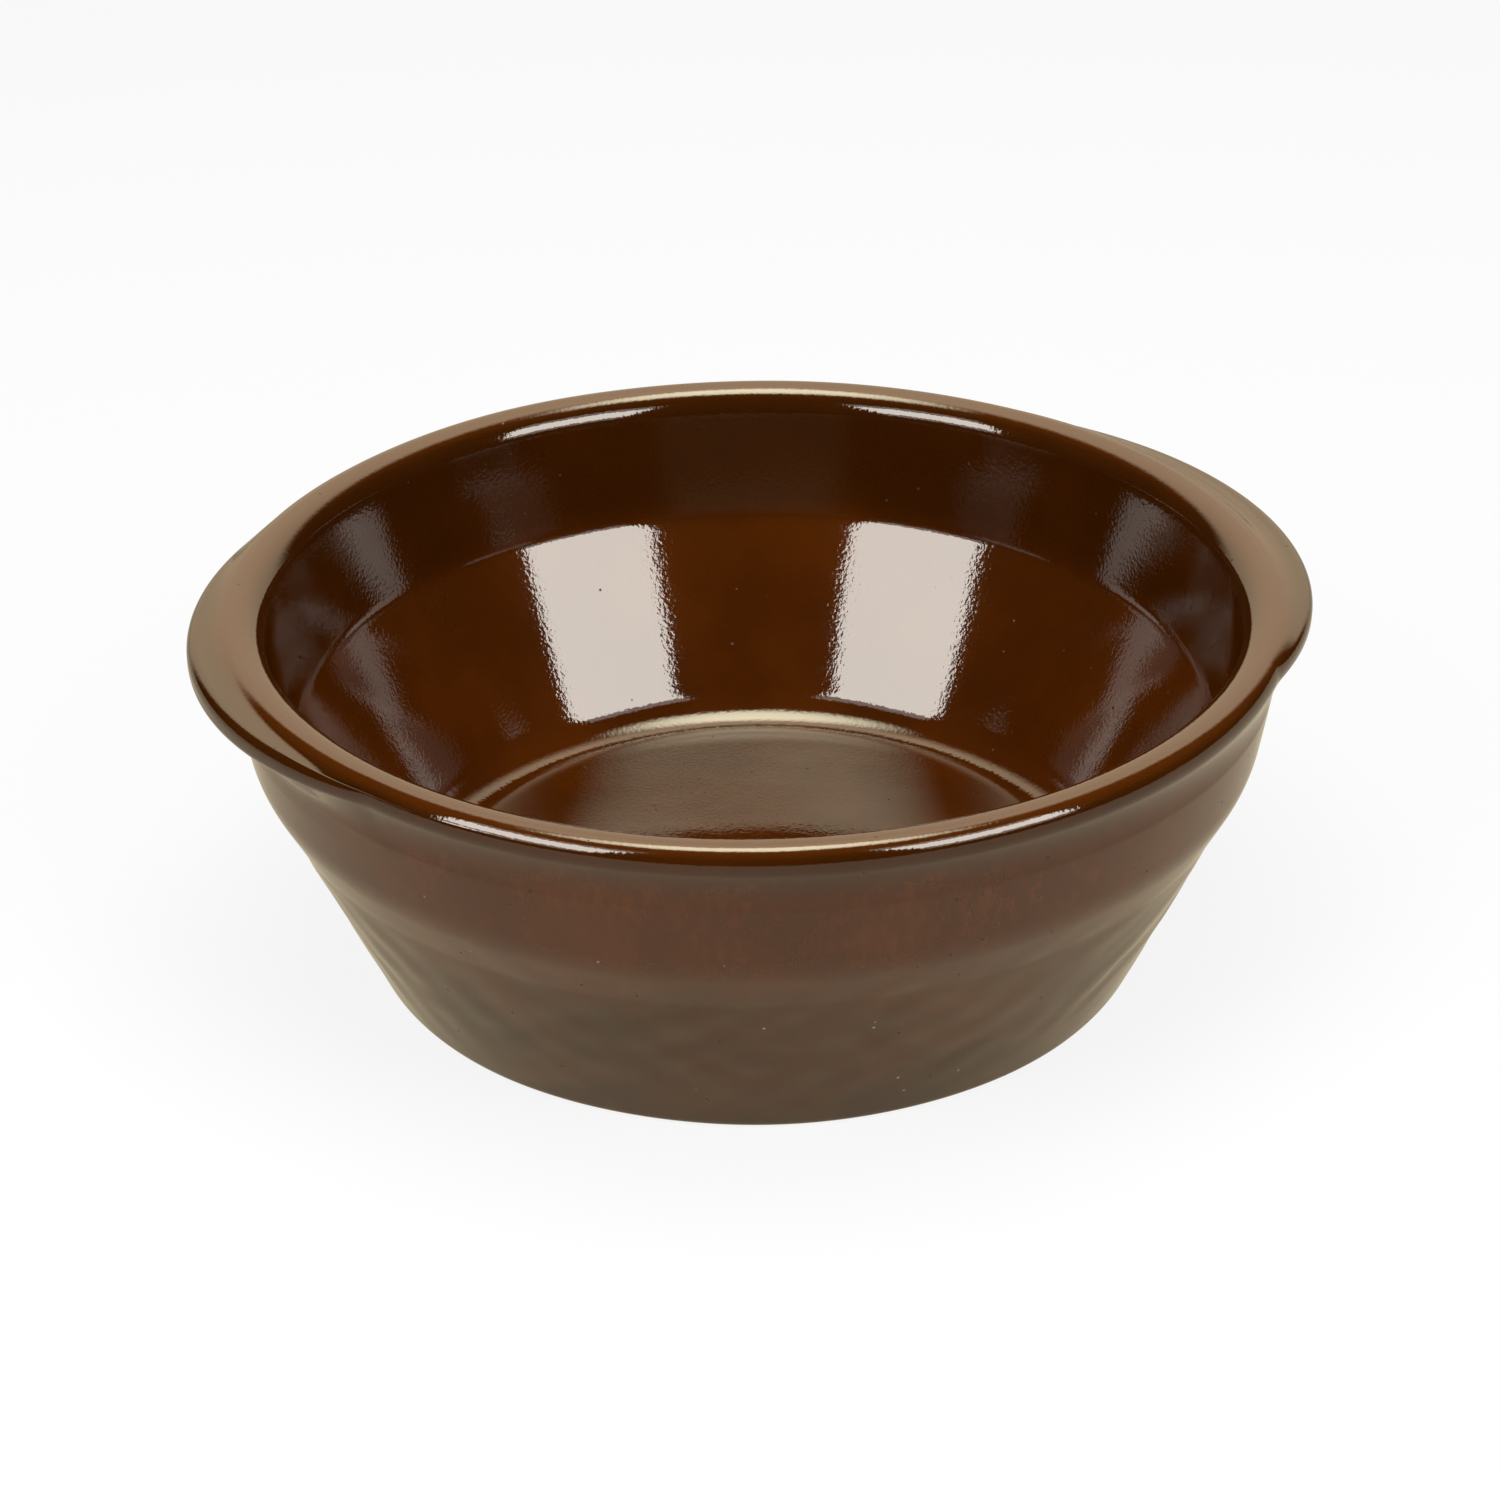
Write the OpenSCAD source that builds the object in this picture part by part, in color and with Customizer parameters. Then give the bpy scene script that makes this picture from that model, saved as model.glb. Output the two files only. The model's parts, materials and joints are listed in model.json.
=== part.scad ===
// Round terracotta cassoulet dish: a fired clay body with two crescent lugs luted
// under the rim, and a brown glaze coat. Millimetres, +Z up, origin at the centre
// of the base, lugs along the X axis. All sizes are of the finished, glazed dish.

/* [Dish] */
// Diameter over the rolled rim, without the lugs
rim_d = 220; // [180:1:280]
// Height from the table to the crest of the rim
dish_h = 78.5; // [70:0.5:100]
// Diameter at which the lower wall would reach the table
foot_d = 162.4; // [156:0.2:166]
// Thickness of the floor at its edge
floor_t = 9.3; // [8.5:0.1:11]
// How far the floor rises from its edge to its level middle
floor_rise = 2.2; // [0:0.1:3]
// Diameter of that level middle
middle_d = 30; // [10:1:60]

/* [Inside] */
// Diameter of the mouth, at the narrowest point inside the rim
mouth_d = 199; // [196:0.5:201]
// Diameter at the crease between the sloping wall and the collar
crease_d = 190; // [186:0.5:192]
// Height of that crease above the table
crease_z = 50; // [44:0.5:54]
// Diameter at which the sloping wall would reach the floor
floor_d = 142.8; // [136:0.2:144]
// Radius of the cove that joins floor and wall
cove_r = 12; // [5:0.5:14]
// Radius that softens the crease
crease_r = 5; // [2:0.5:8]

/* [Outside] */
// Diameter of the collar below the rim
collar_d = 214; // [213:0.2:215]
// Diameter at the shoulder, where the collar turns in
shoulder_d = 208.6; // [206:0.2:210]
// Height of the shoulder above the table
shoulder_z = 49; // [46:0.5:52]
// Radius of the shoulder
shoulder_r = 22; // [10:1:30]
// Diameter at the waist, the faint hollow under the shoulder
waist_d = 197.2; // [195:0.2:199]
// Height of the waist above the table
waist_z = 38.5; // [36:0.5:41]
// Radius of the waist
waist_r = 14; // [8:1:24]
// Radius of the glazed edge round the foot
foot_edge_r = 1.8; // [1.2:0.1:2.4]
// Diameter of the bare base that the dish stands on
base_d = 152; // [145:1:155]

/* [Rim] */
// Radius of the rim's inner shoulder
rim_inner_r = 5.2; // [4.5:0.1:5.6]
// Radius of the rim's outer lip
lip_r = 3.9; // [3.5:0.1:4.2]
// Radius of the hollow neck below the lip
neck_r = 10; // [6:0.5:10]

/* [Lugs] */
// How far a lug stands out past the rim
lug_reach = 6.6; // [5:0.1:8]
// Plan radius of a lug's outer edge, tighter than the rim so that its ends die away
lug_plan_r = 86; // [70:1:95]
// How far a lug's top lies below the crest of the rim
lug_drop = 2.2; // [1.8:0.1:3.5]
// Height of a lug's outer face
lug_face_h = 6.2; // [5:0.1:8]
// Radius of a lug's upper edge
lug_edge_r = 1.8; // [1:0.1:2.5]
// Radius of a lug's lower edge
lug_under_r = 2.6; // [1.5:0.1:3]
// Angle of a lug's underside below the horizontal
lug_under_angle = 24; // [15:1:35]

/* [Glaze] */
// Thickness of the glaze coat
glaze_t = 0.4; // [0.3:0.05:0.6]
// Share of the foot's rounded edge that the coat covers
glazed_share = 0.6; // [0.4:0.05:0.7]

/* [Hidden] */
$fn = 96;
clay_colour = "#b5623c";
glaze_colour = "#43200a";
arc_steps = 6;

rim_r = rim_d / 2;
foot_r = foot_d / 2;
base_r = base_d / 2;
collar_r = collar_d / 2;
mouth_r = mouth_d / 2;

// The slope of the collar's inside, from the vertical.
collar_slope = atan2(mouth_r - crease_d / 2, dish_h - rim_inner_r - crease_z);

// The centres of the rim's two rounded shoulders, on one level crest.
inner_centre = [mouth_r + rim_inner_r, dish_h - rim_inner_r];
lip_centre = [rim_r - lip_r, dish_h - lip_r];
crest_r = (inner_centre.x + lip_centre.x) / 2;

// The neck's arc touches the lip and ends upright on the collar.
neck_turn = acos((collar_r + neck_r - lip_centre.x) / (lip_r + neck_r));
neck_centre = lip_centre + (lip_r + neck_r) * [cos(neck_turn), -sin(neck_turn)];

// The slope of the lower wall, from the vertical.
outer_slope = atan2((waist_d - foot_d) / 2, waist_z);

// The foot's round touches the lower wall and the table; the coat covers part of its turn.
foot_centre = [foot_r - foot_edge_r * tan(45 - outer_slope / 2), foot_edge_r];
foot_turn = (90 - outer_slope) * glazed_share;

// A lug is cut from a ring set off centre, deep enough to run into the wall.
lug_centre = rim_r + lug_reach - lug_plan_r;
lug_top_z = dish_h - lug_drop;
lug_root = 20;

function reverse(list) = [for (i = [len(list) - 1:-1:0]) list[i]];

// Points on an arc, from one angle to another.
function arc(centre, r, from, to, steps = arc_steps) =
    [for (i = [0:steps]) let (a = from + (to - from) * i / steps)
        centre + r * [cos(a), sin(a)]];

// Points of a fillet of radius r in the corner at b, on the way from a to c.
function fillet(a, b, c, r) =
    let (u = (a - b) / norm(a - b),
         v = (c - b) / norm(c - b),
         half = acos(u * v) / 2,
         centre = b + (u + v) / norm(u + v) * r / sin(half),
         start = b + u * r / tan(half) - centre,
         end = b + v * r / tan(half) - centre,
         from = atan2(start.y, start.x),
         turn = atan2(end.y, end.x) - from,
         sweep = turn > 180 ? turn - 360 : turn < -180 ? turn + 360 : turn)
    arc(centre, r, from, from + sweep);

// The unit normal at point i of a path, to the right of its direction.
function normal(path, i) =
    let (a = path[max(i - 1, 0)], b = path[min(i + 1, len(path) - 1)], d = (b - a) / norm(b - a))
    [d.y, -d.x];

// The same path moved to its right by t.
function moved(path, t) = [for (i = [0:len(path) - 1]) path[i] + t * normal(path, i)];

// The inside surface, from the middle of the floor to the crest of the rim.
function inside_path() =
    let (middle = [middle_d / 2, floor_t + floor_rise],
         edge = [floor_d / 2, floor_t],
         crease = [crease_d / 2, crease_z],
         shoulder = inner_centre + rim_inner_r * [-cos(collar_slope), sin(collar_slope)])
    concat([[0, middle.y], middle],
           fillet(middle, edge, crease, cove_r),
           fillet(edge, crease, shoulder, crease_r),
           arc(inner_centre, rim_inner_r, 180 - collar_slope, 90),
           [[crest_r, dish_h]]);

// The outside surface, from the crest of the rim down to the end of the coat under the foot.
function outside_path() =
    let (collar = [collar_r, neck_centre.y],
         shoulder = [shoulder_d / 2, shoulder_z],
         waist = [waist_d / 2, waist_z])
    concat([[crest_r, dish_h]],
           arc(lip_centre, lip_r, 90, -neck_turn, 2 * arc_steps),
           arc(neck_centre, neck_r, 180 - neck_turn, 180),
           fillet(collar, shoulder, waist, shoulder_r),
           fillet(shoulder, waist, [foot_r, 0], waist_r),
           arc(foot_centre, foot_edge_r, -outer_slope, -outer_slope - foot_turn));

// The clay surfaces lie one coat thickness under the glazed ones.
function clay_inside() = moved(inside_path(), glaze_t);
function clay_outside() = moved(outside_path(), glaze_t);

// The outline of the solid inside the outer clay surface, hollow not counted.
function clay_envelope() = concat([[0, 0], [0, dish_h - glaze_t]], clay_outside(), [[base_r, 0]]);

module clay_envelope_solid() {
    rotate_extrude() polygon(clay_envelope());
}

// The body as it leaves the wheel: floor, wall, collar and rim in one piece of clay.
module clay_body() {
    color(clay_colour) rotate_extrude()
        polygon(concat([[0, 0]], clay_inside(), clay_outside(), [[base_r, 0]]));
}

// The inside coat, poured, from the floor to the crest of the rim.
module inside_glaze() {
    color(glaze_colour) rotate_extrude()
        polygon(concat(inside_path(), reverse(clay_inside())));
}

// The outside coat, dipped, from the crest of the rim to the glaze line, open at the lugs.
module outside_glaze() {
    color(glaze_colour) difference() {
        rotate_extrude() polygon(concat(outside_path(), reverse(clay_outside())));
        for (side = [0, 180]) rotate(side) lug_ring(glaze_t);
    }
}

// The ring that a lug is cut from, grown by g over its top, edges and underside.
module lug_ring(g) {
    root_r = lug_plan_r - lug_root + g;
    edge = [lug_plan_r - lug_edge_r, lug_top_z - lug_edge_r];
    lower = [lug_plan_r - lug_under_r, lug_top_z - lug_face_h + lug_under_r];
    under = lower + (lug_under_r + g) * [sin(lug_under_angle), -cos(lug_under_angle)];
    translate([lug_centre, 0, 0]) rotate_extrude() polygon(concat(
        [[root_r, lug_top_z + g]],
        arc(edge, lug_edge_r + g, 90, 0),
        arc(lower, lug_under_r + g, 0, lug_under_angle - 90),
        [[root_r, under.y - (under.x - root_r) * tan(lug_under_angle)]]));
}

// A lug, cut to sit against the clay under the rim.
module lug() {
    color(clay_colour) difference() {
        lug_ring(0);
        clay_envelope_solid();
    }
}

// The coat over a lug.
module lug_glaze() {
    color(glaze_colour) difference() {
        lug_ring(glaze_t);
        lug_ring(0);
        clay_envelope_solid();
    }
}

module right_lug() { lug(); }
module left_lug() { rotate(180) lug(); }
module right_lug_glaze() { lug_glaze(); }
module left_lug_glaze() { rotate(180) lug_glaze(); }

clay_body();
left_lug();
right_lug();
inside_glaze();
outside_glaze();
left_lug_glaze();
right_lug_glaze();
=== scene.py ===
"""Looks of a round, brown-glazed terracotta cassoulet dish, dressed over its CAD frame."""

import json
import logging
import math
from dataclasses import dataclass, field
from enum import Enum
from typing import Any, Optional, Union

import bpy
import numpy as np
from mathutils import Matrix, Vector

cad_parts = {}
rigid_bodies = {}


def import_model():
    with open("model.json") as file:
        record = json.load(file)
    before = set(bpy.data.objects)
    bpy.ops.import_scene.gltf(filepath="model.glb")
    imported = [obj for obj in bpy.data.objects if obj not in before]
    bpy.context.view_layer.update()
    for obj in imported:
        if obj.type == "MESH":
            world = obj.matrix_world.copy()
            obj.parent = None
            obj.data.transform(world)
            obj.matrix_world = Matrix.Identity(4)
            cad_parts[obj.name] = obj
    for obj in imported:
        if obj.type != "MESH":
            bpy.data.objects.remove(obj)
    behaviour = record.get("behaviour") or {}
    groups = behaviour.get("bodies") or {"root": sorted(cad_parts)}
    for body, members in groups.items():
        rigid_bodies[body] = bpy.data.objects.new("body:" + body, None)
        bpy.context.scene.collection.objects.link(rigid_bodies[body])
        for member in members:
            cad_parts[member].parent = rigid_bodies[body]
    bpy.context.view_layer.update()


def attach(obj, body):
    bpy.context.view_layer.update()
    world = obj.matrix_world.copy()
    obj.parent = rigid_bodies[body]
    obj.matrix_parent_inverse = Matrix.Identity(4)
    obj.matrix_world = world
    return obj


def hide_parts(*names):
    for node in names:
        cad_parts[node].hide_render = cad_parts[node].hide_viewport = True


LOG = logging.getLogger("dish")
MM = 0.001
TINY = 1e-7
NOISE_MEAN = 0.5
UP = np.array([0.0, 0.0, 1.0])
WHITE = (1.0, 1.0, 1.0)
Number = Union[int, float]
Colour = tuple[float, float, float]
Span = tuple[float, float]


class Value:
    """A shader socket that takes part in Python arithmetic."""

    def __init__(self, tree: "Tree", socket: Optional[bpy.types.NodeSocket]) -> None:
        """Wraps one output socket of a node tree, or none where a node has no output."""
        self.tree = tree
        self.socket = socket

    def other(self, output: str) -> "Value":
        """Another output of the same node."""
        return Value(self.tree, self.socket.node.outputs[output])

    def _math(self, operation: str, first: Any, second: Any) -> "Value":
        """Adds one Math node.

        Args:
            operation: the node's operation.
            first: its first operand, a value or a number.
            second: its second operand.

        Returns:
            The node's result.
        """
        return self.tree.add("ShaderNodeMath", {"operation": operation}, {0: first, 1: second})

    def __add__(self, other: Any) -> "Value":
        """Sum."""
        return self._math("ADD", self, other)

    __radd__ = __add__

    def __mul__(self, other: Any) -> "Value":
        """Product."""
        return self._math("MULTIPLY", self, other)

    __rmul__ = __mul__

    def __sub__(self, other: Any) -> "Value":
        """Difference."""
        return self._math("SUBTRACT", self, other)

    def __rsub__(self, other: Any) -> "Value":
        """Difference, from the other."""
        return self._math("SUBTRACT", other, self)

    def __truediv__(self, other: Any) -> "Value":
        """Quotient."""
        return self._math("DIVIDE", self, other)

    def __gt__(self, other: Any) -> "Value":
        """1 where this is greater, else 0."""
        return self._math("GREATER_THAN", self, other)

    def ramp(self, low: Number, high: Number) -> "Value":
        """Smooth step from 0 at low to 1 at high.

        Args:
            low: the value that gives 0.
            high: the value that gives 1; it may be the smaller.

        Returns:
            The stepped value.
        """
        return self.tree.add(
            "ShaderNodeMapRange",
            {"interpolation_type": "SMOOTHSTEP", "clamp": True},
            {"Value": self, "From Min": low, "From Max": high},
        )


class Tree:
    """A node tree that is filled by expressions and by one method for other nodes."""

    def __init__(self, tree: bpy.types.NodeTree) -> None:
        """Empties the tree that it wraps."""
        self.tree = tree
        self.tree.nodes.clear()

    def add(
        self,
        kind: str,
        settings: Optional[dict[str, Any]] = None,
        inputs: Optional[dict[Union[str, int], Any]] = None,
        output: Union[str, int] = 0,
    ) -> Value:
        """Adds a node.

        Args:
            kind: the node's type.
            settings: attributes, set before its sockets.
            inputs: values or links, by socket name or index.
            output: the output to return.

        Returns:
            The asked output.
        """
        node = self.tree.nodes.new(kind)
        for name, value in (settings or {}).items():
            setattr(node, name, value)
        for key, value in (inputs or {}).items():
            if isinstance(value, Value):
                self.tree.links.new(value.socket, node.inputs[key])
            elif isinstance(value, tuple) and len(value) == 3 and node.inputs[key].type == "RGBA":
                node.inputs[key].default_value = (*value, 1.0)
            else:
                node.inputs[key].default_value = value
        return Value(self, node.outputs[output] if node.outputs else None)

    def mix(self, share: Any, first: Any, second: Any) -> Value:
        """Mixes two colours.

        Args:
            share: how much of the second, from 0 to 1.
            first: a colour or a colour socket.
            second: a colour or a colour socket.

        Returns:
            The mixed colour.
        """
        return self.add(
            "ShaderNodeMix",
            {"data_type": "RGBA", "clamp_factor": True},
            {0: share, 6: first, 7: second},
            2,
        )

    def place(self) -> Value:
        """The point's place in the dish's own frame, in metres."""
        return self.add("ShaderNodeTexCoord", output="Object")

    def stretched(self, place: Value, scale: tuple[float, float, float]) -> Value:
        """A place multiplied along each axis."""
        return self.add("ShaderNodeVectorMath", {"operation": "MULTIPLY"}, {0: place, 1: scale})

    def along(self, way: Value, axis: Vector) -> Value:
        """How far a direction points along an axis."""
        return self.add(
            "ShaderNodeVectorMath", {"operation": "DOT_PRODUCT"}, {0: way, 1: tuple(axis)}, "Value"
        )

    def noise(self, place: Value, scale: float, detail: float = 2.0, rough: float = 0.5) -> Value:
        """Soft noise.

        Args:
            place: where it is read.
            scale: features per metre.
            detail: octaves.
            rough: how strong the finer octaves are.

        Returns:
            A value about 0.5.
        """
        return self.add(
            "ShaderNodeTexNoise",
            None,
            {"Vector": place, "Scale": scale, "Detail": detail, "Roughness": rough},
        )

    def cells(self, place: Value, scale: float) -> tuple[Value, Value]:
        """Scattered points.

        Args:
            place: where they are read.
            scale: cells per metre.

        Returns:
            The distance to the nearest point in cells, and a random value of that point.
        """
        distance = self.add(
            "ShaderNodeTexVoronoi", None, {"Vector": place, "Scale": scale}, "Distance"
        )
        chance = self.add("ShaderNodeSeparateColor", None, {0: distance.other("Color")})
        return distance, chance


def new_material(name: str) -> tuple[bpy.types.Material, Tree]:
    """Makes an empty node material.

    Args:
        name: the material's name.

    Returns:
        The material and its tree.
    """
    material = bpy.data.materials.new(name)
    material.use_nodes = True
    return material, Tree(material.node_tree)


@dataclass(frozen=True)
class Cloud:
    """Soft noise that decides how much of a colour shows.

    The edge holds the noise values at which it starts and is full. A stretch under 1 makes
    features tall, and one over 1 makes them flat.
    """

    scale: float
    detail: float = 2.0
    rough: float = 0.5
    edge: Span = (0.0, 1.0)
    strength: float = 1.0
    stretch: float = 1.0

    def noise(self, t: Tree, place: Value) -> Value:
        """The noise itself, a value about 0.5."""
        if self.stretch != 1.0:
            place = t.stretched(place, (1.0, 1.0, self.stretch))
        return t.noise(place, self.scale, self.detail, self.rough)

    def share(self, t: Tree, place: Value) -> Value:
        """The share of the colour, from 0 to the strength."""
        return self.noise(t, place).ramp(*self.edge) * self.strength


@dataclass(frozen=True)
class Dots:
    """Scattered dots: cells per metre, a dot's soft edge in cells, and the chance to pass."""

    scale: float
    edge: Span
    chance: float = 0.0

    def every(self, t: Tree, place: Value) -> tuple[Value, Value]:
        """The dots of all cells, and a random value of each cell."""
        distance, chance = t.cells(place, self.scale)
        return distance.ramp(*self.edge), chance

    def share(self, t: Tree, place: Value) -> Value:
        """The dots of the cells whose random value passes the chance."""
        dot, chance = self.every(t, place)
        return dot * (chance > self.chance)


class CoatSide(Enum):
    """Which coat of glaze a finish is for."""

    INSIDE = "inside"
    OUTSIDE = "outside"


@dataclass(frozen=True)
class BrownGlaze:
    """Glossy dark brown glaze over red clay, darker up the collar and redder on the crest."""

    side: CoatSide
    deep: Colour = (0.050, 0.0112, 0.0005)
    warm: Colour = (0.068, 0.0155, 0.0008)
    drift: Cloud = Cloud(38, 3, edge=(0.35, 0.72))
    mottle: Cloud = Cloud(210, 3, 0.6, (0.5, 0.8), 0.35)
    dark: Colour = (0.020, 0.0062, 0.0004)
    dark_top: float = 0.55
    dark_z: Span = (47 * MM, 56 * MM)
    thin: Colour = (0.088, 0.021, 0.002)
    thin_top: float = 0.6
    thin_z: Span = (76.2 * MM, 77.9 * MM)
    rust: Colour = (0.130, 0.028, 0.006)
    rust_low: Span = (40 * MM, 56 * MM)
    rust_high: Span = (74 * MM, 69 * MM)
    runs: Cloud = Cloud(460, 4, 0.65, (0.42, 0.72), 0.35, 0.5)
    blotch: Cloud = Cloud(70, 2, edge=(0.30, 0.65), stretch=0.6)
    # Heights over which the lower wall's painted reflection haze and painted shade fade in, full at
    # the bottom.
    haze_shade_z: Span = (46 * MM, 30 * MM)
    # Painted reflection: a grey haze that stands for the floor mirrored in the lower wall, laid in
    # soft patches.
    reflection_haze: Colour = (0.050, 0.026, 0.009)
    haze_patches: Cloud = Cloud(120, 3, 0.5, (0.35, 0.75), 0.55, 2.0)
    # Painted shade: dark patches that darken the lower wall, more towards the bottom.
    shade_patches: Cloud = Cloud(42, 3, 0.5, (0.42, 0.66), 0.6, 1.8)
    pale: Colour = (0.30, 0.22, 0.15)
    specks: Dots = Dots(520, (0.22, 0.10), 0.985)
    speck_share: float = 0.8
    speck_z: Span = (70 * MM, 50 * MM)
    # Painted shade: the near-black colour of the pinholes stands for the shade inside the pits.
    pinhole_shade: Colour = (0.006, 0.002, 0.001)
    pits: Dots = Dots(320, (0.14, 0.05), 0.88)
    pit_depth: float = 0.02 * MM
    pit_rough: float = 0.5
    peel: Cloud = Cloud(1200, 1.5)
    peel_share: float = 0.46
    swell: Cloud = Cloud(95, 1)
    swell_share: float = 0.7
    relief_depth: float = 0.05 * MM
    roughness: float = 0.055
    rough_spread: float = 0.04
    ior: float = 1.6

    def material(self) -> bpy.types.Material:
        """Builds the node material.

        Returns:
            The material for this side's coat.
        """
        material, t = new_material(f"glaze_{self.side.value}")
        place = t.place()
        height = t.add("ShaderNodeSeparateXYZ", None, {0: place}, "Z")
        colour = t.mix(self.drift.share(t, place), self.deep, self.warm)
        colour = t.mix(self.mottle.share(t, place), colour, self.warm)
        colour = t.mix(self.dark_top * height.ramp(*self.dark_z), colour, self.dark)
        if self.side is CoatSide.OUTSIDE:
            colour = self._outside_colour(t, place, height, colour)
        colour = t.mix(self.thin_top * height.ramp(*self.thin_z), colour, self.thin)
        pit = self.pits.share(t, place)
        uneven = self.rough_spread * (self.mottle.noise(t, place) - NOISE_MEAN)
        shader = t.add(
            "ShaderNodeBsdfPrincipled",
            None,
            {
                # The pinholes' base colour is painted shade, near-black where the pits are.
                "Base Color": t.mix(pit, colour, self.pinhole_shade),
                "Roughness": self.roughness + uneven + pit * self.pit_rough,
                "IOR": self.ior,
                "Normal": self._normal(t, place, pit),
            },
        )
        t.add("ShaderNodeOutputMaterial", None, {"Surface": shader})
        return material

    def _normal(self, t: Tree, place: Value, pit: Value) -> Value:
        """Adds the orange peel, the slow swell and the pinholes to the shading.

        Args:
            t: the tree to add to.
            place: the point's place.
            pit: where the pinholes are.

        Returns:
            The bumped normal.
        """
        peel = self.peel.noise(t, place) * self.peel_share
        relief = peel + self.swell.noise(t, place) * self.swell_share
        bump = t.add(
            "ShaderNodeBump", None, {"Strength": 1.0, "Distance": self.relief_depth, "Height": relief}
        )
        return t.add(
            "ShaderNodeBump",
            {"invert": True},
            {"Strength": 1.0, "Distance": self.pit_depth, "Height": pit, "Normal": bump},
        )

    def _outside_colour(self, t: Tree, place: Value, height: Value, colour: Value) -> Value:
        """Adds rusty collar runs, a grey veil of painted reflection, and patches of painted shade low
        down.

        Args:
            t: the tree to add to.
            place: the point's place.
            height: its height above the table, in metres.
            colour: the plain glaze colour.

        Returns:
            The outside colour.
        """
        collar = height.ramp(*self.rust_low) * height.ramp(*self.rust_high)
        rust = self.runs.share(t, place) * self.blotch.share(t, place) * collar
        colour = t.mix(rust, colour, self.rust)
        # Painted reflection and painted shade: the lower wall gets a grey haze and dark patches,
        # stronger towards the bottom.
        lower = height.ramp(*self.haze_shade_z)
        colour = t.mix(lower * self.haze_patches.share(t, place), colour, self.reflection_haze)
        # Painted shade: the dark colour laid in patches over the lower wall.
        colour = t.mix(lower * self.shade_patches.share(t, place), colour, self.dark)
        speck = self.specks.share(t, place) * height.ramp(*self.speck_z)
        return t.mix(speck * self.speck_share, colour, self.pale)


@dataclass(frozen=True)
class BareTerracotta:
    """Matt fired red clay with fine grog, where the glaze stops."""

    clay: Colour = (0.42, 0.155, 0.068)
    light: Colour = (0.55, 0.25, 0.13)
    cloud: Cloud = Cloud(30, 3, edge=(0.3, 0.7))
    grog: Dots = Dots(520, (0.30, 0.16))
    dark: Colour = (0.26, 0.085, 0.038)
    dark_above: float = 0.72
    dark_share: float = 0.75
    grit: Colour = (0.72, 0.52, 0.38)
    grit_below: float = 0.18
    grit_share: float = 0.7
    grain: Cloud = Cloud(900, 3, 0.6)
    grain_depth: float = 0.10 * MM
    grain_strength: float = 0.8
    grog_share: float = 0.4
    roughness: float = 0.82
    rough_spread: float = 0.2

    def material(self) -> bpy.types.Material:
        """Builds the node material.

        Returns:
            The material for bare clay.
        """
        material, t = new_material("bare_terracotta")
        place = t.place()
        grain = self.grain.noise(t, place)
        grog, chance = self.grog.every(t, place)
        colour = t.mix(self.cloud.share(t, place), self.clay, self.light)
        colour = t.mix(grog * (chance > self.dark_above) * self.dark_share, colour, self.dark)
        colour = t.mix(grog * (self.grit_below - chance > 0) * self.grit_share, colour, self.grit)
        relief = grain + grog * self.grog_share
        bump = t.add(
            "ShaderNodeBump",
            None,
            {"Strength": self.grain_strength, "Distance": self.grain_depth, "Height": relief},
        )
        shader = t.add(
            "ShaderNodeBsdfPrincipled",
            None,
            {
                "Base Color": colour,
                "Roughness": self.roughness + self.rough_spread * (grain - NOISE_MEAN),
                "Normal": bump,
            },
        )
        t.add("ShaderNodeOutputMaterial", None, {"Surface": shader})
        return material


def wrapped(degrees: Any) -> Any:
    """An angle, or an array of angles, brought between -180 and 180 degrees."""
    return (degrees + 180) % 360 - 180


def smooth_step(x: np.ndarray) -> np.ndarray:
    """A step from 0 to 1 with level ends, as x goes from 0 to 1."""
    x = np.clip(x, 0, 1)
    return x * x * (3 - 2 * x)


def run_length(points: np.ndarray) -> np.ndarray:
    """The distance along a path from its start to each of its points."""
    return np.concatenate([[0], np.cumsum(np.linalg.norm(np.diff(points, axis=0), axis=1))])


def arc(centre: Span, r: float, start: float, end: float, n: int = 40) -> np.ndarray:
    """Points on an arc.

    Args:
        centre: its centre.
        r: its radius.
        start: the first angle, in degrees.
        end: the last angle, in degrees.
        n: how many steps.

    Returns:
        The points, one a row.
    """
    a = np.radians(np.linspace(start, end, n + 1))
    return np.column_stack([centre[0] + r * np.cos(a), centre[1] + r * np.sin(a)])


def fillet(a: np.ndarray, b: np.ndarray, c: np.ndarray, r: float) -> np.ndarray:
    """Points of a fillet in the corner at b.

    Args:
        a: a point before the corner.
        b: the corner.
        c: a point after the corner.
        r: the fillet's radius.

    Returns:
        The points, from the a side to the c side.
    """
    u, v = (a - b) / np.linalg.norm(a - b), (c - b) / np.linalg.norm(c - b)
    half = math.acos(float(u @ v)) / 2
    centre = b + (u + v) / np.linalg.norm(u + v) * r / math.sin(half)
    start = b + u * r / math.tan(half) - centre
    end = b + v * r / math.tan(half) - centre
    first = math.degrees(math.atan2(start[1], start[0]))
    turn = wrapped(math.degrees(math.atan2(end[1], end[0])) - first)
    return arc((centre[0], centre[1]), r, first, first + turn)


def resampled(points: np.ndarray, n: int) -> np.ndarray:
    """A path with even steps.

    Args:
        points: the path.
        n: how many steps.

    Returns:
        n + 1 points along it.
    """
    step = np.linalg.norm(np.diff(points, axis=0), axis=1)
    points = points[np.concatenate([[True], step > TINY])]
    s = run_length(points)
    at = np.linspace(0, s[-1], n + 1)
    return np.column_stack([np.interp(at, s, points[:, k]) for k in (0, 1)])


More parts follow.
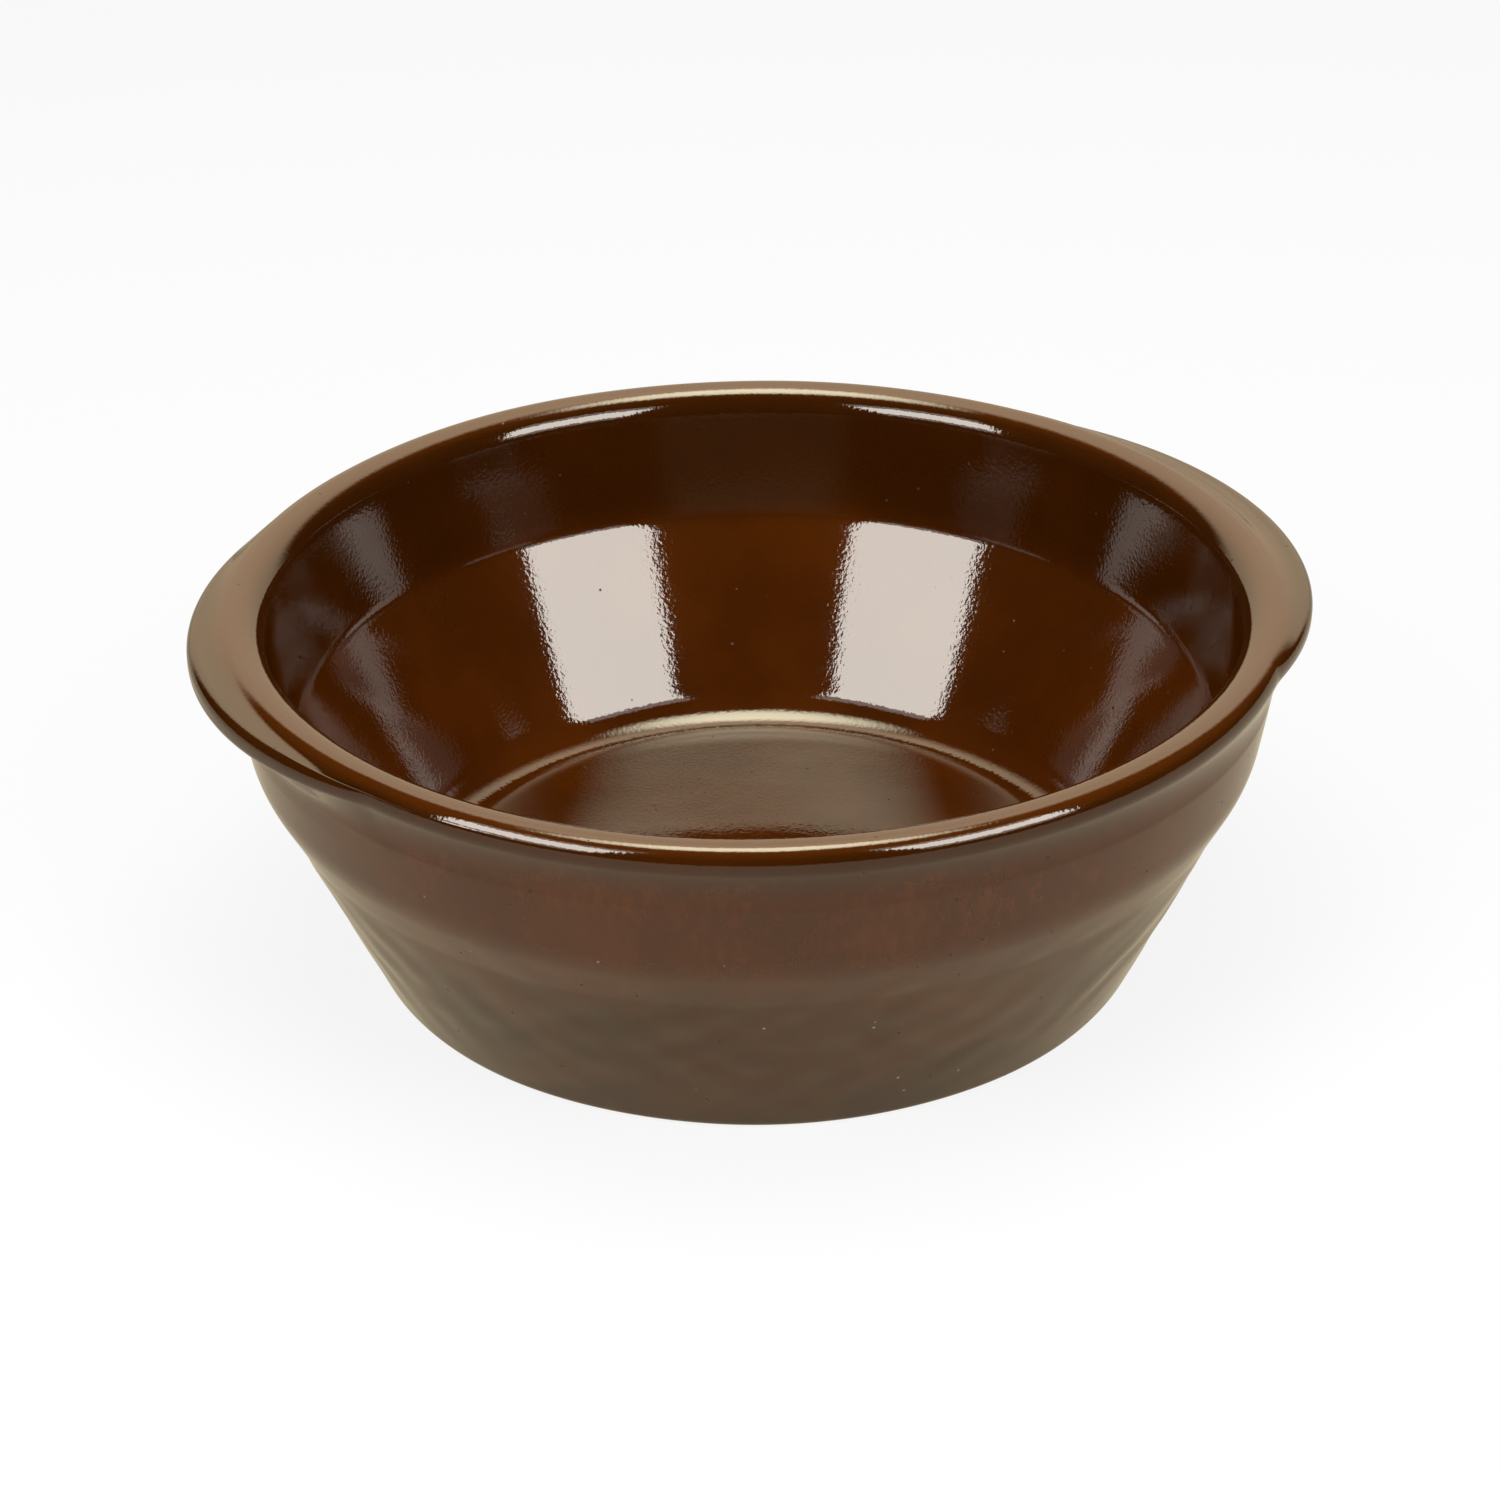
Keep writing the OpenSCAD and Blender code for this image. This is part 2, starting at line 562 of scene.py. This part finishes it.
@dataclass(frozen=True)
class Lug:
    """One lug: the angle of its middle, half its length as an angle, its reach and fullness.

    The hollow between it and the rim's roll has a depth in millimetres, an angle and a half
    length.
    """

    angle: float
    half: float
    reach: float
    fullness: float
    hollow_depth: float
    hollow_angle: float
    hollow_half: float

    def hollow(self, theta: np.ndarray) -> np.ndarray:
        """The depth of the hollow at each angle, in millimetres."""
        away = wrapped(np.degrees(theta) - self.hollow_angle) / self.hollow_half
        return self.hollow_depth * np.exp(-(away**2))

    def stand(self, theta: np.ndarray) -> np.ndarray:
        """How far the lug stands out past the rim at each angle, in millimetres."""
        away = np.abs(wrapped(np.degrees(theta) - self.angle)) / self.half
        return self.reach * np.clip(1 - away**2, 0, 1) ** self.fullness


@dataclass
class DishSection:
    """The dish's section, radius and height in millimetres.

    It follows the part's source. The neck under the lip and the rim's inner shoulder are
    rounder here, and the lugs differ from each other.
    """

    rim_r: float = 109.75
    height: float = 78.5
    foot_r: float = 81.2
    floor_t: float = 9.3
    floor_rise: float = 2.2
    middle_r: float = 15.0
    middle_round: float = 500.0
    mouth_r: float = 99.5
    crease_r: float = 95.0
    crease_z: float = 50.0
    crease_round: float = 5.0
    floor_r: float = 71.4
    cove_round: float = 12.0
    collar_r: float = 107.0
    shoulder_r: float = 104.3
    shoulder_z: float = 49.0
    shoulder_round: float = 22.0
    waist_r: float = 98.6
    waist_z: float = 38.5
    waist_round: float = 14.0
    rim_round: float = 6.2
    lip_round: float = 3.9
    neck_round: float = 18.0
    foot_round: float = 1.8
    foot_glazed: float = 38.0
    base_r: float = 76.0
    lugs: tuple[Lug, ...] = (
        Lug(
            angle=2.0,
            half=38.0,
            reach=6.8,
            fullness=1.05,
            hollow_depth=0.55,
            hollow_angle=12.0,
            hollow_half=18.0,
        ),
        Lug(
            angle=177.0,
            half=34.0,
            reach=6.3,
            fullness=1.1,
            hollow_depth=0.65,
            hollow_angle=196.0,
            hollow_half=17.0,
        ),
    )
    lug_drop: float = 1.8
    lug_fall: float = 3.4
    lug_root: float = 6.0
    groove_out: float = -0.4
    groove_wide: float = 1.5
    lug_edge: float = 2.8
    lug_under: float = 2.6
    lug_face: float = 6.6
    lug_slope: float = 24.0
    blend_angle: float = 78.0
    side_angle: float = 25.0
    blend_z: float = 60.0
    flank_points: int = 40

    def inside(self) -> np.ndarray:
        """The inside surface, from the middle of the floor to the crest of the rim."""
        middle = np.array([self.middle_r, self.floor_t + self.floor_rise])
        edge = np.array([self.floor_r, self.floor_t])
        crease = np.array([self.crease_r, self.crease_z])
        centre = (self.mouth_r + self.rim_round, self.height - self.rim_round)
        lean = math.degrees(math.atan2(self.mouth_r - self.crease_r, centre[1] - self.crease_z))
        shoulder = arc(centre, self.rim_round, 180 - lean, 90)
        return np.vstack(
            [
                [[0.0, middle[1]]],
                fillet(np.array([0.0, middle[1]]), middle, edge, self.middle_round),
                fillet(middle, edge, crease, self.cove_round),
                fillet(edge, crease, shoulder[0], self.crease_round),
                shoulder,
                [[self.crest_r(), self.height]],
            ]
        )

    def crest_r(self) -> float:
        """The radius of the middle of the rim's crest."""
        return (self.mouth_r + self.rim_round + self.rim_r - self.lip_round) / 2

    def lip_centre(self) -> np.ndarray:
        """The centre of the lip's round."""
        return np.array([self.rim_r - self.lip_round, self.height - self.lip_round])

    def rim_top(self) -> np.ndarray:
        """The crest and the upper part of the lip, which plain rim and lugs share."""
        return np.vstack(
            [
                [[self.crest_r(), self.height]],
                arc(tuple(self.lip_centre()), self.lip_round, 90, self.blend_angle),
            ]
        )

    def neck_turn(self) -> float:
        """How far the lip turns under before the neck begins, in degrees below the level."""
        across = self.collar_r + self.neck_round - self.lip_centre()[0]
        return math.degrees(math.acos(across / (self.lip_round + self.neck_round)))

    def neck_centre(self) -> np.ndarray:
        """The centre of the neck's hollow."""
        a = math.radians(self.neck_turn())
        reach = self.lip_round + self.neck_round
        return self.lip_centre() + reach * np.array([math.cos(a), -math.sin(a)])

    def join(self) -> np.ndarray:
        """The point of the collar below which plain edge and lugs are alike."""
        neck_z = self.neck_centre()[1]
        lean = (self.collar_r - self.shoulder_r) / (neck_z - self.shoulder_z)
        return np.array([self.collar_r - lean * (neck_z - self.blend_z), self.blend_z])

    def plain_edge(self) -> list[np.ndarray]:
        """The rest of the lip, the neck and the top of the collar, away from the lugs.

        Returns:
            The lip's top, the lip's side, and the neck with the top of the collar.
        """
        lip, turn = tuple(self.lip_centre()), self.neck_turn()
        neck = arc(tuple(self.neck_centre()), self.neck_round, 180 - turn, 180)
        return [
            arc(lip, self.lip_round, self.blend_angle, self.side_angle),
            arc(lip, self.lip_round, self.side_angle, -turn),
            np.vstack([neck, self.join()[None]]),
        ]

    def longest_reach(self) -> float:
        """The reach of the longer lug, for which the lugs' section is drawn."""
        return max(lug.reach for lug in self.lugs)

    def lug_edge_path(self) -> list[np.ndarray]:
        """The same stretches through the middle of a lug.

        Returns:
            The lug's top, its rounded side, and its underside with the top of the collar.
        """
        start, join = self.rim_top()[-1], self.join()
        outer = self.rim_r + self.longest_reach()
        top = self.height - self.lug_drop
        edge = (outer - self.lug_edge, top - self.lug_edge)
        lower = (outer - self.lug_under, top - self.lug_face + self.lug_under)
        slope = math.radians(self.lug_slope)
        under = np.array(lower) + self.lug_under * np.array([math.sin(slope), -math.cos(slope)])
        root = np.array([self.collar_r, under[1] - (under[0] - self.collar_r) * math.tan(slope)])
        r = np.linspace(start[0], edge[0], self.flank_points)
        fall = smooth_step((r - start[0]) / (self.rim_r + self.lug_fall - start[0]))
        upper_edge = arc(edge, self.lug_edge, 90, 0)
        lower_edge = arc(lower, self.lug_under, 0, self.lug_slope - 90)
        return [
            np.column_stack([r, start[1] + (top - start[1]) * fall]),
            np.vstack([upper_edge, lower_edge]),
            np.vstack([under[None], fillet(under, root, join, self.lug_root), join[None]]),
        ]

    def groove(self, theta: np.ndarray, r: np.ndarray) -> np.ndarray:
        """How deep the hollows between the rim's roll and the lugs are.

        Args:
            theta: angles about the axis, in radians.
            r: radii, one row a section point.

        Returns:
            The depths, in millimetres.
        """
        across = np.exp(-(((r - self.rim_r - self.groove_out) / self.groove_wide) ** 2))
        return across * sum(lug.hollow(theta) for lug in self.lugs)

    def wall(self) -> np.ndarray:
        """The collar, the bend and the lower wall, down to the coat's end under the foot."""
        start = self.join()
        shoulder = np.array([self.shoulder_r, self.shoulder_z])
        waist = np.array([self.waist_r, self.waist_z])
        table = np.array([self.foot_r, 0.0])
        slope = math.atan2(self.waist_r - self.foot_r, self.waist_z)
        foot = (self.foot_r - self.foot_round * math.tan(math.pi / 4 - slope / 2), self.foot_round)
        lean = -math.degrees(slope)
        return np.vstack(
            [
                start[None],
                fillet(start, shoulder, waist, self.shoulder_round),
                fillet(shoulder, waist, table, self.waist_round),
                arc(foot, self.foot_round, lean, lean - self.foot_glazed),
            ]
        )

    def lug_share(self, theta: np.ndarray) -> np.ndarray:
        """How far the lugs stand out at each angle, as a share of the longest reach."""
        return sum(lug.stand(theta) for lug in self.lugs) / self.longest_reach()


@dataclass(frozen=True)
class Relief:
    """Unevenness of hand work: smooth, seeded and closed round the dish.

    It adds up waves, so many round the dish and so many millimetres long down the section.
    The depth is their spread in millimetres, and the limit is how many spreads may show.
    """

    seed: int
    waves: int
    around: tuple[int, int]
    down: Span
    depth: float
    limit: float

    def depths(self, theta: np.ndarray, s: np.ndarray) -> np.ndarray:
        """Depths over a grid.

        Args:
            theta: angles about the axis, in radians.
            s: distances along the section, in millimetres.

        Returns:
            A grid, one row a section point, with depths about 0 in millimetres.
        """
        rng = np.random.default_rng(self.seed)
        out = np.zeros((len(s), len(theta)))
        for _ in range(self.waves):
            m = int(rng.integers(self.around[0], self.around[1] + 1))
            length = rng.uniform(*self.down)
            a, b = rng.uniform(0, 2 * math.pi, 2)
            way = rng.choice([-1, 1])
            out += np.cos(m * theta[None] + a + 2 * math.pi * s[:, None] / length * way + b)
        out /= math.sqrt(self.waves / 2)
        return self.depth * np.clip(out, -self.limit, self.limit)


@dataclass
class GlazedSurface:
    """The glazed surface of the whole dish as one grid, from the floor to the glaze line.

    It is sunk a little under the plain section, so that its unevenness does not stand out of
    it. Ripples show on the lower wall only, and the middle of the floor is calm.
    """

    section: DishSection
    turns: int = 600
    floor_steps: int = 60
    wall_steps: int = 110
    top_steps: int = 14
    edge_steps: tuple[int, int, int] = (30, 30, 36)
    outer_steps: int = 96
    glaze_t: float = 0.4
    sink: float = 0.16
    calm: float = 60.0
    broad: Relief = Relief(11, 40, (2, 9), (60, 160), 0.05, 3)
    ripple: Relief = Relief(23, 60, (14, 46), (9, 26), 0.065, 2)
    ripple_z: float = 48.0
    ripple_fade: float = 14.0
    foot_fade: float = 18.0
    theta: np.ndarray = field(init=False, repr=False)
    s: np.ndarray = field(init=False, repr=False)
    crest: int = field(init=False)
    points: np.ndarray = field(init=False, repr=False)
    normals: np.ndarray = field(init=False, repr=False)

    def build(self) -> None:
        """Works out the grid, its normals and the row of the rim's crest."""
        sec = self.section
        inside = resampled(sec.inside(), self.floor_steps + self.wall_steps)
        top = resampled(sec.rim_top(), self.top_steps)
        plain, lug = (
            np.vstack([resampled(part, n)[1:] for part, n in zip(edge, self.edge_steps)])
            for edge in (sec.plain_edge(), sec.lug_edge_path())
        )
        wall = resampled(sec.wall(), self.outer_steps)
        self.theta = np.linspace(0, 2 * math.pi, self.turns, endpoint=False)
        path = np.vstack([inside, top[1:], plain, wall[1:]])
        other = np.vstack([inside, top[1:], lug, wall[1:]])
        share = sec.lug_share(self.theta)
        r = path[:, :1] + (other - path)[:, :1] * share
        z = path[:, 1:] + (other - path)[:, 1:] * share
        self.crest = len(inside) - 1
        upper = slice(self.crest, self.crest + self.top_steps + self.edge_steps[0])
        z[upper] -= sec.groove(self.theta, r[upper])
        self.s = run_length(path)
        even = self.spun(r, z)
        self.points = even - self._normals(even) * self._dips(path[:, 1:])[..., None]
        self.normals = self._normals(self.points)

    def _dips(self, z: np.ndarray) -> np.ndarray:
        """How far hand work leaves each point under the even surface.

        Args:
            z: heights of the plain section, one row a point.

        Returns:
            A grid of depths, in millimetres.
        """
        outside = (np.arange(len(z)) > self.crest)[:, None]
        low = np.clip((self.ripple_z - z) / self.ripple_fade, 0, 1) * outside
        low = low * np.clip(z / self.foot_fade, 0, 1)
        dip = self.broad.depths(self.theta, self.s) + low * self.ripple.depths(self.theta, self.s)
        return self.sink + dip * smooth_step(self.s / self.calm)[:, None]

    def spun(self, r: np.ndarray, z: np.ndarray) -> np.ndarray:
        """Turns radii and heights round the axis.

        Args:
            r: radii, as a column or one for each angle.
            z: heights, likewise.

        Returns:
            A grid of points, one ring a row.
        """
        r = r * np.ones(self.turns)
        return np.stack([r * np.cos(self.theta), r * np.sin(self.theta), z + 0 * r], axis=-1)

    @staticmethod
    def _normals(points: np.ndarray) -> np.ndarray:
        """Unit normals of a grid, out of the clay.

        Args:
            points: the grid.

        Returns:
            The normals, in the same shape.
        """
        along = np.gradient(points, axis=0)
        around = (np.roll(points, -1, axis=1) - np.roll(points, 1, axis=1)) / 2
        n = np.cross(along, around)
        length = np.linalg.norm(n, axis=-1, keepdims=True)
        n = np.where(length > TINY, n / np.maximum(length, TINY), UP)
        n[0] = UP
        return n

    def under(self) -> np.ndarray:
        """The clay surface below the coat."""
        return self.points - self.glaze_t * self.normals


class MeshMaker:
    """Builds one mesh object from rings of points."""

    def __init__(self, name: str) -> None:
        """Starts an empty mesh."""
        self.name = name
        self.points: list[np.ndarray] = []
        self.normals: list[np.ndarray] = []
        self.faces: list[np.ndarray] = []
        self.count = 0

    def ring(self, points: np.ndarray, normals: np.ndarray) -> int:
        """Adds a ring of points.

        Args:
            points: the points, in millimetres.
            normals: their shading normals.

        Returns:
            The index of its first point.
        """
        start = self.count
        self.points.append(points)
        self.normals.append(normals)
        self.count += len(points)
        return start

    def band(self, first: int, second: int, n: int) -> None:
        """Joins two rings of n points by quads."""
        i = np.arange(n)
        j = (i + 1) % n
        self.faces.append(np.column_stack([first + i, second + i, second + j, first + j]))

    def cap(self, ring: int, n: int, point: np.ndarray, normal: np.ndarray, flip: bool) -> None:
        """Closes a ring with a fan.

        Args:
            ring: the ring's first point.
            n: how many points it has.
            point: the middle.
            normal: the middle's normal.
            flip: whether the fan turns the other way.
        """
        middle = self.ring(point[None], normal[None])
        i = np.arange(n)
        j = (i + 1) % n
        order = [ring + j, ring + i] if flip else [ring + i, ring + j]
        self.faces.append(np.column_stack([*order, np.full(n, middle)]))

    def finish(self, material: bpy.types.Material) -> bpy.types.Object:
        """Makes the object.

        Args:
            material: its finish.

        Returns:
            The object, in metres.
        """
        mesh = bpy.data.meshes.new(self.name)
        faces = [tuple(int(v) for v in row) for block in self.faces for row in block]
        mesh.from_pydata((np.vstack(self.points) * MM).tolist(), [], faces)
        mesh.polygons.foreach_set("use_smooth", np.ones(len(faces), bool))
        mesh.materials.append(material)
        mesh.validate()
        mesh.normals_split_custom_set_from_vertices(np.vstack(self.normals).tolist())
        piece = bpy.data.objects.new(self.name, mesh)
        bpy.context.scene.collection.objects.link(piece)
        return piece


@dataclass
class GlazeCoat:
    """One coat of glaze: a closed skin on the clay, cut from the glazed surface."""

    surface: GlazedSurface
    finish: BrownGlaze
    under_step: int = 5

    def build(self) -> bpy.types.Object:
        """Builds the coat.

        Returns:
            The coat's object.
        """
        surf = self.surface
        inside = self.finish.side is CoatSide.INSIDE
        n = surf.turns
        maker = MeshMaker(f"glaze_coat_{self.finish.side.value}")
        outer = list(range(1, surf.crest + 1)) if inside else list(range(surf.crest, len(surf.s)))
        rings = [maker.ring(surf.points[r], surf.normals[r]) for r in outer]
        under = surf.under()
        inner = sorted(set(outer[:: self.under_step] + [outer[-1]]), reverse=True)
        back = [maker.ring(under[r], -surf.normals[r]) for r in inner]
        chain = rings + back
        for first, second in zip(chain, chain[1:]):
            maker.band(first, second, n)
        if inside:
            maker.cap(rings[0], n, surf.points[0, 0], UP, False)
            maker.cap(back[-1], n, under[0, 0], -UP, True)
        else:
            maker.band(chain[-1], chain[0], n)
        piece = maker.finish(self.finish.material())
        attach(piece, "root")
        return piece


@dataclass
class ClayBody:
    """The fired clay with its lugs, bare only on the foot and the turned underside."""

    surface: GlazedSurface
    finish: BareTerracotta
    step: int = 4
    base_rings: int = 130
    base_eye: float = 2.0
    rest_wide: float = 6.0
    groove_pitch: float = 2.6
    groove_depth: float = 0.09
    groove_fade: float = 3.0

    def build(self) -> bpy.types.Object:
        """Builds the body with its lugs, foot and turned underside.

        Returns:
            The body's object.
        """
        surf = self.surface
        n = surf.turns
        under = surf.under()
        maker = MeshMaker("clay_body_and_lugs")
        rows = sorted(set(list(range(1, len(surf.s), self.step)) + [len(surf.s) - 1]))
        rings = [maker.ring(under[r], surf.normals[r]) for r in rows]
        base = self._base()
        d = np.gradient(base, axis=0)
        d /= np.linalg.norm(d, axis=1, keepdims=True)
        grid, normals = surf.spun(base[:, :1], base[:, 1:]), surf.spun(-d[:, 1:], d[:, :1])
        rings += [maker.ring(g, m) for g, m in zip(grid, normals)]
        for first, second in zip(rings, rings[1:]):
            maker.band(first, second, n)
        maker.cap(rings[0], n, under[0, 0], UP, False)
        maker.cap(rings[-1], n, np.zeros(3), -UP, True)
        piece = maker.finish(self.finish.material())
        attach(piece, "root")
        return piece

    def _base(self) -> np.ndarray:
        """The underside's section, from the ring it stands on to the middle, with fine grooves."""
        edge = self.surface.section.base_r
        flat = np.linspace(edge, self.base_eye, self.base_rings)
        turned = self.groove_depth * (1 - np.cos(2 * math.pi * flat / self.groove_pitch))
        turned = turned * np.clip((edge - self.rest_wide - flat) / self.groove_fade, 0, 1)
        return np.column_stack([flat, turned])


class LightRole(Enum):
    """What a light is for."""

    LEVEL = "lights the surfaces"
    SHINE = "is mirrored by them"


@dataclass
class Studio:
    """A pale floor, soft boxes on both sides, light from above and behind, and the camera.

    Each light has one role, so that what the glaze mirrors does not raise the level on it.
    """

    azimuth: float = -17.0
    distance: float = 0.7362
    height: float = 0.4391
    pitch: float = 28.449
    roll: float = -0.684
    yaw: float = -0.088
    lens: float = 96.0
    sensor: float = 36.0
    lamp_colour: Colour = (1.0, 0.97, 0.93)
    side_level: float = 5.2
    side_shine: float = 2.0
    core_shine: float = 9.0
    core_height: float = 0.40
    side_tint: Colour = (1.0, 0.945, 0.86)
    side_size: Span = (0.622, 0.734)
    side_bearing: float = 48.0
    side_rise: float = 35.5
    side_away: float = 1.2
    aim_z: float = 0.04
    top_level: float = 4.4
    top_away: float = 1.3
    top_size: Span = (1.1, 0.8)
    layer_gap: float = 0.03
    glow: float = 12.0
    glow_tint: Colour = (1.0, 0.95, 0.68)
    glow_half: Span = (0.42, 0.29)
    glow_back: float = 0.08
    glow_low: Span = (0.0, 0.1)
    back_steps: tuple[float, float, float] = (0.95, 1.4, 1.6)
    back_edge: Span = (0.05, 0.40)
    back_narrow: float = 1.2
    back_tint: Colour = (1.0, 0.80, 0.53)
    room_dark: float = 0.012
    ambient: float = 0.10
    floor_half: float = 6.0
    floor_gap: float = 0.1 * MM
    floor_colour: Colour = (0.84, 0.85, 0.88)
    floor_white: float = 0.85
    floor_mirrored: float = 0.85
    floor_tint: Colour = (0.62, 0.53, 0.35)

    def build(self) -> None:
        """Builds the floor, the lights, the world and the camera."""
        self._floor()
        self._world()
        for sign in (-1, 1):
            self._side_light(sign)
        self._top_light()
        self._camera()
        bpy.context.scene.view_settings.view_transform = "Standard"

    def _bearing(self, degrees: float) -> Vector:
        """The level direction at a bearing to the right of the camera's, from the dish."""
        a = math.radians(self.azimuth + degrees)
        return Vector((math.sin(a), -math.cos(a), 0.0))

    def _floor(self) -> None:
        """Adds the floor: white with the dish's shadow from above, and clear from below."""
        mesh = bpy.data.meshes.new("floor")
        half, low = self.floor_half, -self.floor_gap
        corners = [(-half, -half, low), (half, -half, low), (half, half, low), (-half, half, low)]
        mesh.from_pydata(corners, [], [(0, 1, 2, 3)])
        floor = bpy.data.objects.new("floor", mesh)
        bpy.context.scene.collection.objects.link(floor)
        material, t = new_material("pale_floor")
        shade = t.add("ShaderNodeBsdfDiffuse", None, {"Color": self.floor_colour})
        straight, mirrored = self._rays(t)
        for seen, share, colour in (
            (straight, self.floor_white, WHITE),
            (mirrored, self.floor_mirrored, self.floor_tint),
        ):
            bright = t.add("ShaderNodeEmission", None, {"Color": colour, "Strength": 1.0})
            shade = t.add("ShaderNodeMixShader", None, {0: seen * share, 1: shade, 2: bright})
        below = t.add("ShaderNodeNewGeometry", output="Backfacing")
        clear = t.add("ShaderNodeBsdfTransparent", None, {"Color": WHITE})
        shade = t.add("ShaderNodeMixShader", None, {0: below, 1: shade, 2: clear})
        t.add("ShaderNodeOutputMaterial", None, {"Surface": shade})
        mesh.materials.append(material)

    @staticmethod
    def _rays(t: Tree) -> tuple[Value, Value]:
        """Light Path flags.

        Args:
            t: the tree to add to.

        Returns:
            1 for rays straight from the camera, and 1 for mirrored or transmitted rays.
        """
        straight = t.add("ShaderNodeLightPath", output="Is Camera Ray")
        mirrored, through = straight.other("Is Glossy Ray"), straight.other("Is Transmission Ray")
        return straight, (mirrored + through).ramp(0.0, 1.0)

    def _world(self) -> None:
        """Makes a room that mirrors as bright overhead and behind, and dark elsewhere."""
        world = bpy.data.worlds.new("studio")
        bpy.context.scene.world = world
        world.use_nodes = True
        t = Tree(world.node_tree)
        way = t.add("ShaderNodeTexCoord", output="Generated")
        axes = (self._bearing(180), self._bearing(90), Vector(UP))
        behind, across, up = (t.along(way, axis) for axis in axes)
        straight, mirrored = self._rays(t)
        wide = across / self.glow_half[0]
        deep = (behind - self.glow_back) / self.glow_half[1]
        overhead = (wide * wide + deep * deep).ramp(1.0, 0.0) * up.ramp(*self.glow_low) * self.glow
        base, rise, crown = self.back_steps
        square = up * up
        ahead = behind - self.back_narrow * across * across
        wall = (base + rise * up + crown * square * square) * ahead.ramp(*self.back_edge)
        plain = straight + (1 - straight) * (1 - mirrored) * self.ambient
        shade = t.add("ShaderNodeBackground", None, {"Color": WHITE, "Strength": plain})
        for strength, colour in (
            (overhead, self.glow_tint),
            (wall + self.room_dark, self.back_tint),
        ):
            part = t.add(
                "ShaderNodeBackground", None, {"Color": colour, "Strength": mirrored * strength}
            )
            shade = t.add("ShaderNodeAddShader", None, {0: shade, 1: part})
        t.add("ShaderNodeOutputWorld", None, {"Surface": shade})

    def _area(
        self,
        name: str,
        size: Span,
        radiance: float,
        colour: Colour,
        at: Vector,
        role: LightRole,
    ) -> None:
        """Adds a soft light that faces the dish.

        Args:
            name: its name.
            size: width and height, in metres.
            radiance: how bright its face is.
            colour: its tint.
            at: its place.
            role: whether it lights surfaces or is mirrored by them.
        """
        light = bpy.data.lights.new(name, "AREA")
        light.color = colour
        light.shape = "RECTANGLE"
        light.size, light.size_y = size
        light.energy = radiance * math.pi * size[0] * size[1]
        lamp = bpy.data.objects.new(name, light)
        aim = Vector((0.0, 0.0, self.aim_z)) - at
        lamp.matrix_world = Matrix.Translation(at) @ aim.to_track_quat("-Z", "Y").to_matrix().to_4x4()
        lamp.visible_camera = False
        lamp.visible_glossy = role is LightRole.SHINE
        lamp.visible_diffuse = role is LightRole.LEVEL
        bpy.context.scene.collection.objects.link(lamp)

    def _side_light(self, sign: int) -> None:
        """Adds the soft box on one side: its light, its mirrored face and the bright middle."""
        rise = math.radians(self.side_rise)
        flat = self._bearing(sign * self.side_bearing) * math.cos(rise)
        at = (flat + Vector((0, 0, math.sin(rise)))) * self.side_away
        name = f"soft_light_{'left' if sign < 0 else 'right'}"
        self._area(name, self.side_size, self.side_level, self.lamp_colour, at, LightRole.LEVEL)
        core = (self.side_size[0], self.core_height)
        for layer, (part, size, shine) in enumerate(
            (("shine", self.side_size, self.side_shine), ("core", core, self.core_shine)), start=1
        ):
            near = at * (1 - layer * self.layer_gap)
            self._area(f"{name}_{part}", size, shine, self.side_tint, near, LightRole.SHINE)

    def _top_light(self) -> None:
        """Adds the overhead light."""
        at = Vector((0.0, 0.0, self.top_away))
        self._area(
            "soft_light_above", self.top_size, self.top_level, self.lamp_colour, at, LightRole.LEVEL
        )

    def _camera(self) -> None:
        """Adds the camera at the photograph's viewing angle."""
        camera = bpy.data.cameras.new("camera")
        camera.lens = self.lens
        camera.sensor_width = self.sensor
        eye = bpy.data.objects.new("camera", camera)
        at = self._bearing(0) * self.distance + Vector((0, 0, self.height))
        p, q = math.radians(self.pitch), math.radians(self.roll)
        level = -self._bearing(-self.yaw)
        side = Vector((level.y, -level.x, 0.0))
        ahead = level * math.cos(p) - Vector((0, 0, math.sin(p)))
        above = side.cross(ahead)
        right = side * math.cos(q) + above * math.sin(q)
        top = above * math.cos(q) - side * math.sin(q)
        turn = Matrix((right, top, -ahead)).transposed().to_4x4()
        eye.matrix_world = Matrix.Translation(at) @ turn
        bpy.context.scene.collection.objects.link(eye)
        bpy.context.scene.camera = eye


def main() -> None:
    """Builds the dish round its frame, then the studio."""
    logging.basicConfig(level=logging.INFO, format="%(name)s: %(message)s")
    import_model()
    surface = GlazedSurface(DishSection())
    surface.build()

    inside = GlazeCoat(surface, BrownGlaze(CoatSide.INSIDE)).build()
    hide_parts("inside_glaze")
    LOG.info("inside coat: %d faces", len(inside.data.polygons))

    outer_glaze = BrownGlaze(CoatSide.OUTSIDE, dark_z=(66 * MM, 73 * MM))
    outside = GlazeCoat(surface, outer_glaze).build()
    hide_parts("outside_glaze", "left_lug_glaze", "right_lug_glaze")
    LOG.info("outside coat: %d faces", len(outside.data.polygons))

    body = ClayBody(surface, BareTerracotta()).build()
    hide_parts("clay_body", "left_lug", "right_lug")
    LOG.info("clay body: %d faces", len(body.data.polygons))

    Studio().build()


if __name__ == "__main__":
    main()
